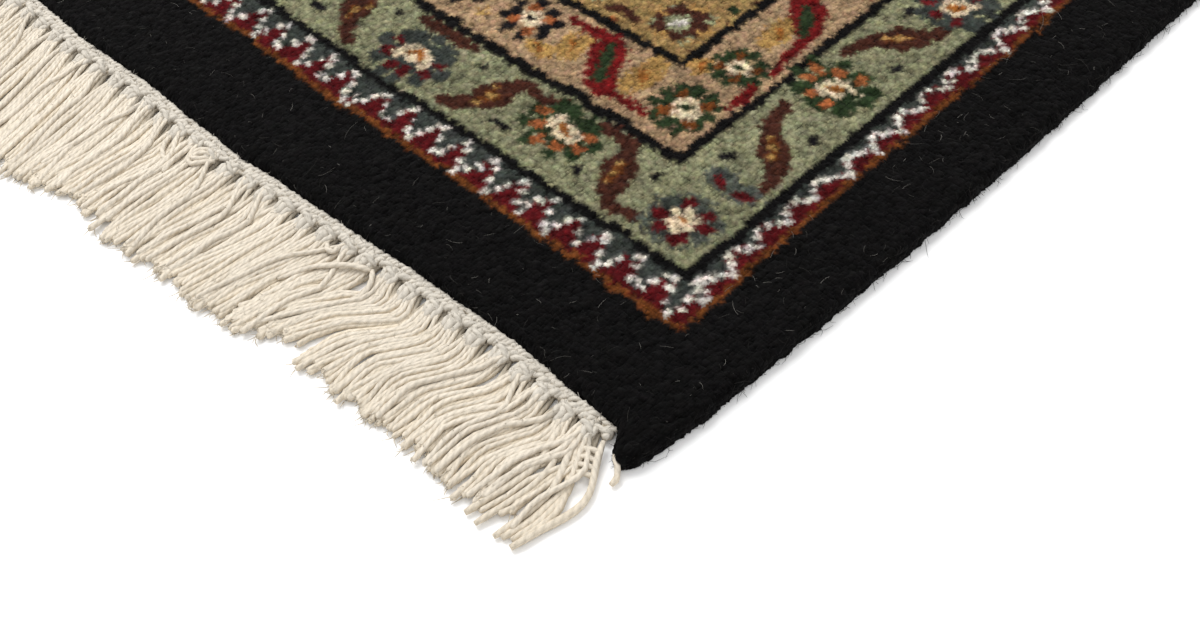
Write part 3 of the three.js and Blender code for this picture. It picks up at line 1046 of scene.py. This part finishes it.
def bundle_head(turn, middle, edge, way, pitch):
    """The plump knot that holds a bundle: a thick loop with one at each side, and a turn across them."""
    lines, radii, shades = [], [], []
    share = np.linspace(0, 1, 9)
    lean = turn.uniform(-1.4, 1.4)
    long = turn.uniform(10.5, 13.5)
    for spot, thick in ((-1, 1.9), (0, 2.5), (1, 1.9)):
        x = middle + spot * 0.21 * pitch * np.interp(share, (0, 0.4, 1), (0.85, 1.1, 0.75))
        x = x + lean * share + turn.uniform(-0.3, 0.3)
        out = edge + BAND_WIDTH - 3.0 + long * share
        arch = np.sin(math.pi * np.interp(share, (0, 0.35, 1), (0.2, 0.5, 0.92)))
        height = 2.2 + (2.6 - 0.5 * abs(spot)) * arch
        lines.append(np.stack([x, way * out, height], axis=-1))
        plump = np.interp(share, (0, 0.3, 0.65, 1), (0.75, 1.05, 0.95, 0.6))
        radii.append(thick * turn.uniform(0.92, 1.08) * plump)
        shades.append(turn.uniform(0.96, 1.02))
    across = np.linspace(-1, 1, 9)
    slant = turn.uniform(0.4, 2.2)
    out = edge + BAND_WIDTH - 0.2 + turn.uniform(0, 1.4) + slant * across
    height = 2.0 + 4.6 * (1 - across ** 2) ** 0.7
    lines.append(np.stack([middle + 0.33 * pitch * across, way * out, height], axis=-1))
    radii.append(turn.uniform(1.4, 1.8) * np.interp(across, (-1, -0.7, 0.7, 1), (0.7, 1, 1, 0.7)))
    shades.append(turn.uniform(0.93, 1.0))
    return lines, radii, shades


def twined_band(way, ends):
    """The twined edge between the pile and the knots: two ropes side by side, each of two strands."""
    along = np.linspace(ends[0], ends[1], 620)
    edge = edge_at(1, way, along)
    lines, radii = [], []
    for row, (middle, pitch, thick) in enumerate(((1.8, 6.0, 1.5), (5.2, 7.6, 1.7))):
        uneven = slow_waves(along, 0, 13, 51 + row)
        wander = slow_waves(along, 0, 15, 53 + row)
        for strand in range(2):
            turn = math.tau * (along / pitch + strand / 2) + 1.9 * wander
            out = edge + middle + 0.7 * uneven + 1.4 * np.cos(turn)
            height = 3.3 + 0.6 * uneven + 1.4 * np.sin(turn)
            lines.append(np.stack([along, way * out, height], axis=-1))
            size = thick * (1 + 0.2 * slow_waves(along, 0, 6, 55 + 2 * row + strand))
            size[[0, -1]] *= 0.5
            radii.append(size)
    return np.array(lines), np.array(radii)


def through(points, count):
    """A smooth line of that many stations through listed points."""
    points = np.array(points, float)
    spans = np.linalg.norm(np.diff(points, axis=0), axis=1)
    along = np.concatenate([[0], np.cumsum(spans)]) / spans.sum()
    fine = np.linspace(0, 1, 121)
    straight = np.stack([np.interp(fine, along, points[:, k]) for k in range(3)], axis=-1)
    padded = np.pad(straight, ((8, 8), (0, 0)), mode="reflect", reflect_type="odd")
    soft = np.stack([np.convolve(padded[:, k], np.ones(17) / 17, mode="valid") for k in range(3)], axis=-1)
    stations = np.linspace(0, 1, count)
    return np.stack([np.interp(stations, fine, soft[:, k]) for k in range(3)], axis=-1)


# The loose ends at the corner that shows: x, how far past the fringe line, and height
CORNER_ARC = (
    (267, 0, 4.0), (269.7, 5, 4.6), (272.2, 9.6, 4.4), (275.4, 14.2, 3.6), (279.5, 20, 2.6), (282.6, 26, 2.1),
    (283.4, 33, 1.9), (282.2, 41, 1.9), (279.6, 49.5, 1.9), (277.4, 60, 2.0), (275.6, 67, 1.9),
)
CORNER_LOOP = (
    (274.5, -3, 5.6), (275.6, 0, 5.4), (277.5, 3.4, 5.2), (282, 6.3, 4.0), (285, 10, 2.4), (285, 14, 1.8),
)
CORNER_RUNGS = (
    ((262.6, 9.4, 4.0), (265.6, 7.6, 5.2), (269.4, 6.0, 4.2)),
    ((264.0, 13.2, 3.8), (267.8, 11.6, 5.0), (271.9, 10.0, 4.0)),
    ((266.2, 16.6, 3.4), (270.0, 15.2, 4.6), (274.0, 13.2, 3.4)),
    ((268.6, 20.0, 2.8), (272.0, 18.6, 4.0), (276.2, 16.6, 2.8)),
)
CORNER_ROUTES = (
    ((259.5, 3, 4.0), (262, 8, 4.8), (265, 15, 4.0), (269.5, 22, 3.0), (272, 31, 2.4), (272.3, 43, 2.2),
     (272.8, 52, 2.2), (271, 59, 2.1), (269, 66, 1.9)),
    ((258, 4, 3.4), (260.5, 12, 3.4), (267, 20, 2.2), (272.5, 27, 1.9), (274.6, 34, 1.9), (275.4, 43, 1.9),
     (276, 51, 1.9), (274.6, 58, 1.9), (273.2, 64, 1.9)),
    ((256, 6, 4.2), (259.5, 14, 4.4), (264.5, 24, 3.8), (268.6, 34, 3.2), (268.8, 48, 2.6),
     (267.5, 60, 2.2), (266, 68, 2.0)),
    ((266, 22, 1.7), (271, 27.5, 1.7), (275.5, 34, 1.8), (278, 42, 1.9), (277.6, 51, 1.9),
     (275.8, 61, 1.9)),
    ((246, 6, 3.8), (249, 16, 3.8), (253.5, 27, 3.2), (253, 40, 3.0), (250, 55, 2.6), (247.5, 68, 2.2)),
    ((253, 6, 3.8), (255, 16, 3.8), (259.5, 27, 3.2), (260, 40, 3.0), (257.5, 55, 2.6), (255, 69, 2.2)),
)

# Loose turns of yarn that lie over the knots of the front end, told in the same way
LOOSE_TURNS = (
    ((-22, 3, 4.0), (-27, 1.5, 6.4), (-32, 4, 7.2), (-35, 8, 6.6), (-33.5, 14, 5.6), (-30, 16.5, 5.2),
     (-26, 11.5, 6.2), (-21, 5, 5.0)),
    ((-26, 3, 5.0), (-30, 6, 7.2), (-32.4, 10, 6.8), (-31.5, 13, 6.4), (-28.5, 10.5, 6.8), (-25, 6, 5.4)),
    ((-57, 9, 4.6), (-54, 14, 6.2), (-50.5, 19, 5.4), (-45, 22, 4.8), (-40, 23, 4.2)),
    ((-40, 6, 5.0), (-38.5, 14, 7.0), (-38.5, 21, 6.0), (-36, 29, 4.8)),
    ((73, 36, 3.6), (78, 25, 4.6), (82, 18.5, 5.6), (88, 14, 6.6), (94, 9, 7.6), (100, 5, 7.2),
     (106, 2, 5.6)),
    ((74, 4, 5.0), (79, 8, 7.2), (83, 7, 7.2), (81, 2, 5.4)),
    ((106, 1, 5.0), (110.5, 4.5, 6.8), (114, 9, 6.4), (115, 15, 4.8), (112, 22, 3.6)),
)
LAID_STATIONS = 14


def corner_yarns(finish):
    """Yarns laid as in the photo: an arc and turns at the corner, and loops over the knots."""
    routes = [(CORNER_ARC, 1.75), (CORNER_LOOP, 1.5)] + [(rung, 1.4) for rung in CORNER_RUNGS]
    routes += [(route, 1.65) for route in CORNER_ROUTES] + [(turn, 1.45) for turn in LOOSE_TURNS]
    lines, radii = [], []
    for points, thick in routes:
        lines.append(through([(x, -FRINGE_LINE - out, height) for x, out, height in points], LAID_STATIONS))
        taper = np.interp(np.linspace(0, 1, LAID_STATIONS), (0, 0.1, 0.93, 1), (0.7, 1, 1.05, 0.8))
        radii.append(thick * taper)
    shades = np.full(len(lines), 0.99)
    return lay_yarns("corner_yarns", np.array(lines), np.array(radii), 6, finish, shades, 0.1)


def frizz(name, lines, radii, count, length, turn, finish):
    """Fine fibres that stand off yarns, at random places along and round them."""
    which = turn.integers(0, len(lines), count)
    station = turn.integers(1, lines.shape[1] - 1, count)
    start = lines[which, station]
    onward = lines[which, station + 1] - start
    onward /= np.linalg.norm(onward, axis=1, keepdims=True)
    off = turn.normal(0, 1, (count, 3))
    off[:, 2] = np.abs(off[:, 2])
    off -= onward * np.sum(off * onward, axis=1, keepdims=True)
    off /= np.linalg.norm(off, axis=1, keepdims=True)
    bend = turn.normal(0, 0.5, (count, 3))
    lean = turn.uniform(-1.2, 1.2, (count, 1)) * onward
    size = turn.uniform(0.4, 1.0, (count, 1)) * length
    start = start + 0.8 * radii[which, station][:, None] * off
    path = [start + share * size * (off + lean + share * bend) for share in np.linspace(0, 1, 3)]
    fibres = np.stack(path, axis=1)
    fibres[..., 2] = np.maximum(fibres[..., 2], 0.3)
    return lay_yarns(name, fibres, np.tile((0.16, 0.12, 0.07), (count, 1)), 3, finish, np.ones(count))


def wool_strays(name, s, t, lean, length, thick, steps, shades, finish, turn):
    """Loose wool fibres that stand out of the pile at the given places of its canvas."""
    place, facing = over_the_edge(s, t)
    away = turn.normal(0, 1, facing.shape)
    away -= facing * np.sum(away * facing, axis=1, keepdims=True)
    away /= np.linalg.norm(away, axis=1, keepdims=True)
    curl = np.cross(facing, away) * turn.normal(0, 0.6, (len(s), 1)) - 0.35 * lean * facing
    start = place + 0.1 * facing
    share = np.linspace(0, 1, steps + 1)[None, :, None]
    path = start[:, None] + share * length[:, None, None] * (lean * facing + away)[:, None]
    path = path + share ** 2 * length[:, None, None] * curl[:, None]
    path[..., 2] = np.maximum(path[..., 2], 0.3)
    radii = thick * np.interp(np.linspace(0, 1, steps + 1), (0, 0.6, 1), (1, 0.9, 0.5))
    return lay_yarns(name, path, np.tile(radii, (len(s), 1)), 3, finish, shades)


# How many hairs are drawn over the whole rug before the border's are kept, and the fibres at the rims
HAIRS_DRAWN = 3600
EDGE_FIBRES = 2400
SIDE_SHARE = 0.78


def border_hairs(finish):
    """Pale hairs that lie loose on the black border, most of them short."""
    turn = np.random.default_rng(71)
    s = turn.uniform(-HALF_WIDTH, HALF_WIDTH, HAIRS_DRAWN)
    t = turn.uniform(-HALF_LENGTH, HALF_LENGTH, HAIRS_DRAWN)
    border = (HALF_WIDTH - np.abs(s) < GUARD[0]) | (HALF_LENGTH - np.abs(t) < GUARD[1])
    s, t = s[border], t[border]
    length = turn.gamma(2.2, 1.6, len(s))
    shades = turn.uniform(0.0, 1.0, len(s)) ** 2 + 0.1
    return wool_strays("border_hairs", s, t, 0.16, length, 0.055, 3, shades, finish, turn)


def edge_fuzz(finish):
    """Short dark fibres along the rims, where the pile rolls over the edge."""
    turn = np.random.default_rng(73)
    count = EDGE_FIBRES
    side = turn.uniform(0, 1, count) < SIDE_SHARE
    way = turn.choice((-1, 1), count)
    past = turn.uniform(-2, 7.5, count)
    s = np.where(side, way * (HALF_WIDTH + past), turn.uniform(-HALF_WIDTH, HALF_WIDTH, count))
    t = np.where(side, turn.uniform(-HALF_LENGTH, HALF_LENGTH, count), way * (HALF_LENGTH + past))
    length = turn.gamma(3.0, 0.95, count)
    return wool_strays("edge_fuzz", s, t, 0.9, length, 0.11, 2, turn.uniform(0.5, 2.5, count), finish, turn)


# The fine fibres of each end: how many to a yarn's tip, and how many on the yarns, knots and band
TIP_FIBRES = 2
YARN_LINT = 1300
KNOT_FUZZ = 500
BAND_FUZZ = 1300


def frayed(lines, radii, count, turn):
    """Short fibres that splay from the yarns' cut tips."""
    splay = np.linspace(0, 1, 3)
    fibres = []
    for _ in range(count):
        start = lines[:, -2]
        onward = lines[:, -1] - lines[:, -3]
        onward /= np.linalg.norm(onward, axis=1, keepdims=True)
        stray = turn.normal(0, 0.55, onward.shape)
        length = turn.uniform(1.5, 4.5, (len(lines), 1))
        side = turn.normal(0, 0.5, onward.shape) * radii[:, -2:-1]
        path = [start + side + share * length * (onward + share * stray) for share in splay]
        fibres.append(np.stack(path, axis=1))
    fibres = np.concatenate(fibres)
    fibres[..., 2] = np.maximum(fibres[..., 2], 0.4)
    return fibres


def fringe_end(name, way, knots, salt, finish, band_finish):
    """One end's fringe: way is -1 at the front and 1 at the back."""
    turn = np.random.default_rng(salt)
    pitch = (knots[1] - knots[0]) / (BUNDLES - 1)
    yarns = ([], [], [])
    heads = ([], [], [])
    for bundle in range(BUNDLES):
        middle = knots[0] + pitch * bundle + turn.uniform(-0.9, 0.9)
        edge = edge_at(1, way, middle)
        for held, new in zip(yarns, bundle_yarns(turn, middle, edge, way, pitch)):
            held.extend(new)
        for held, new in zip(heads, bundle_head(turn, middle, edge, way, pitch)):
            held.extend(new)
    lines, radii, shades = (np.array(values) for values in yarns)
    opening = np.interp(STATIONS, (0, 0.88, 1), (0.07, 0.07, 0.16))
    laid = lay_yarns(f"{name}_yarns", lines, radii, YARN_SIDES, finish, shades, opening)
    lumps, lump_radii, lump_shades = (np.array(values) for values in heads)
    wraps = lay_yarns(f"{name}_knots", lumps, lump_radii, 6, band_finish, lump_shades, 0.12, 6.0)
    ropes, rope_radii = twined_band(way, (knots[0] - 0.6 * pitch, knots[1] + 0.66 * pitch))
    rope_shades = np.array([0.97, 1.0, 0.95, 1.0])
    band = lay_yarns(f"{name}_band", ropes, rope_radii, 5, band_finish, rope_shades, 0.12, 5.0)
    fibres = frayed(lines, radii, TIP_FIBRES, turn)
    fibre_radii = np.tile((0.32, 0.26, 0.12), (len(fibres), 1))
    tips = lay_yarns(f"{name}_tips", fibres, fibre_radii, 3, finish, np.tile(shades[:, -1], TIP_FIBRES))
    lint = frizz(f"{name}_lint", lines, radii, YARN_LINT, 2.2, turn, finish)
    fuzz = frizz(f"{name}_fuzz", lumps, lump_radii, KNOT_FUZZ, 2.6, turn, band_finish)
    band_fuzz = frizz(f"{name}_band_fuzz", ropes, rope_radii, BAND_FUZZ, 1.9, turn, band_finish)
    return [laid, wraps, band, tips, lint, fuzz, band_fuzz]


# The camera in metres, its roll in radians and its lens in mm, fitted to the photo's border lines
CAMERA_PLACE = Vector((0.595, -0.752, 0.585))
CAMERA_AIM = Vector((-0.49300, 0.44581, -0.74713))
CAMERA_ROLL = -0.0856
LENS = 48.0
SENSOR = 36.0

# The lamps: name, place and size in metres, and power in watts
LAMPS = (
    ("key_light", (-0.9, -0.1, 1.7), 1.2, 34),
    ("fill_light", (1.2, -1.2, 2.0), 1.6, 12),
)
LIT_PLACE = Vector((0.1, -0.3, 0))
SKY_STRENGTH = 0.72
FLOOR_HALF = 6
FLOOR_DROP = 0.0004


def camera():
    """The photo's view of one corner."""
    scene = bpy.context.scene
    scene.view_settings.view_transform = "Standard"
    scene.view_settings.look = "None"
    forward = CAMERA_AIM.normalized()
    level = forward.cross(Vector((0, 0, 1))).normalized()
    upright = level.cross(forward)
    right = level * math.cos(CAMERA_ROLL) + upright * math.sin(CAMERA_ROLL)
    up = upright * math.cos(CAMERA_ROLL) - level * math.sin(CAMERA_ROLL)
    data = bpy.data.cameras.new("camera")
    data.lens = LENS
    data.sensor_width = SENSOR
    data.sensor_fit = "HORIZONTAL"
    holder = bpy.data.objects.new("camera", data)
    turn = Matrix((right, up, -forward)).transposed().to_4x4()
    holder.matrix_world = Matrix.Translation(CAMERA_PLACE) @ turn
    scene.collection.objects.link(holder)
    scene.camera = holder


def light():
    """Soft studio light: a white sky and two wide lamps."""
    scene = bpy.context.scene
    world = bpy.data.worlds.new("studio")
    world.use_nodes = True
    background = world.node_tree.nodes["Background"]
    background.inputs["Color"].default_value = (1, 1, 1, 1)
    background.inputs["Strength"].default_value = SKY_STRENGTH
    scene.world = world
    for name, place, size, power in LAMPS:
        lamp = bpy.data.lights.new(name, "AREA")
        lamp.shape = "SQUARE"
        lamp.size = size
        lamp.energy = power
        holder = bpy.data.objects.new(name, lamp)
        aim = LIT_PLACE - Vector(place)
        holder.matrix_world = Matrix.Translation(place) @ aim.to_track_quat("-Z", "Y").to_matrix().to_4x4()
        scene.collection.objects.link(holder)


def pale_floor():
    """A plain floor just below the rug."""
    bm = bmesh.new()
    bmesh.ops.create_grid(bm, x_segments=1, y_segments=1, size=FLOOR_HALF)
    bmesh.ops.translate(bm, verts=bm.verts[:], vec=(0, 0, -FLOOR_DROP))
    return piece_from(mesh_from(bm, "floor"), plain_finish("pale_floor", (250, 250, 250), 0.95))


camera()
light()
floor = pale_floor()

design = full_design()
corner_count = (COLUMNS + 2 * EDGE_KNOTS + 1, ROWS + 2 * EDGE_KNOTS + 1)
clumps = clumped(corner_count, 41)
inner = slice(EDGE_KNOTS, -EDGE_KNOTS - 1)
colours = knot_colours(design, clumps[inner, inner])
shift = draw.uniform(-KNOT_SHIFT, KNOT_SHIFT, corner_count + (2,))
tip_lift = draw.normal(0, 0.26, corner_count) + 0.26 * clumps
dip = -0.2 - 0.85 * draw.uniform(0, 1, corner_count) + 0.26 * clumps
lift = np.stack([tip_lift, dip], axis=-1)
pile = pile_finish()
mixed = spread_to_corners(colours)
strip_edges = np.linspace(0, COLUMNS + 2 * EDGE_KNOTS, STRIPS + 1).round().astype(int)
for number in range(STRIPS):
    strip = pile_strip(number + 1, strip_edges[number], strip_edges[number + 1], mixed, shift, lift, pile)
    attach(strip, "root")
    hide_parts("rug_pile")

ground = foundation(colours, back_finish())
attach(ground, "root")
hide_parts("rug_pile")

# Each cotton's own colour, then the warmer, darker colour painted low down as shade
cotton = cotton_finish("cotton_fringe", (213, 203, 187), (214, 199, 173), TWIST)
band_cotton = cotton_finish("cotton_band", (204, 197, 185), (198, 182, 157), 5.0)
for name, way, knots, salt in (("fringe_front", -1, FRONT_KNOTS, 5), ("fringe_back", 1, BACK_KNOTS, 17)):
    for piece in fringe_end(name, way, knots, salt, cotton, band_cotton):
        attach(piece, "root")
        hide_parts(name)

hairs = border_hairs(fibre_finish("loose_hair", (146, 143, 136)))
rim_wool = edge_fuzz(fibre_finish("edge_wool", (26, 24, 23)))
strays = [hairs, rim_wool]
for piece in strays:
    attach(piece, "root")
    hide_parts("rug_pile")

corner = corner_yarns(cotton)
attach(corner, "root")
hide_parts("fringe_front")
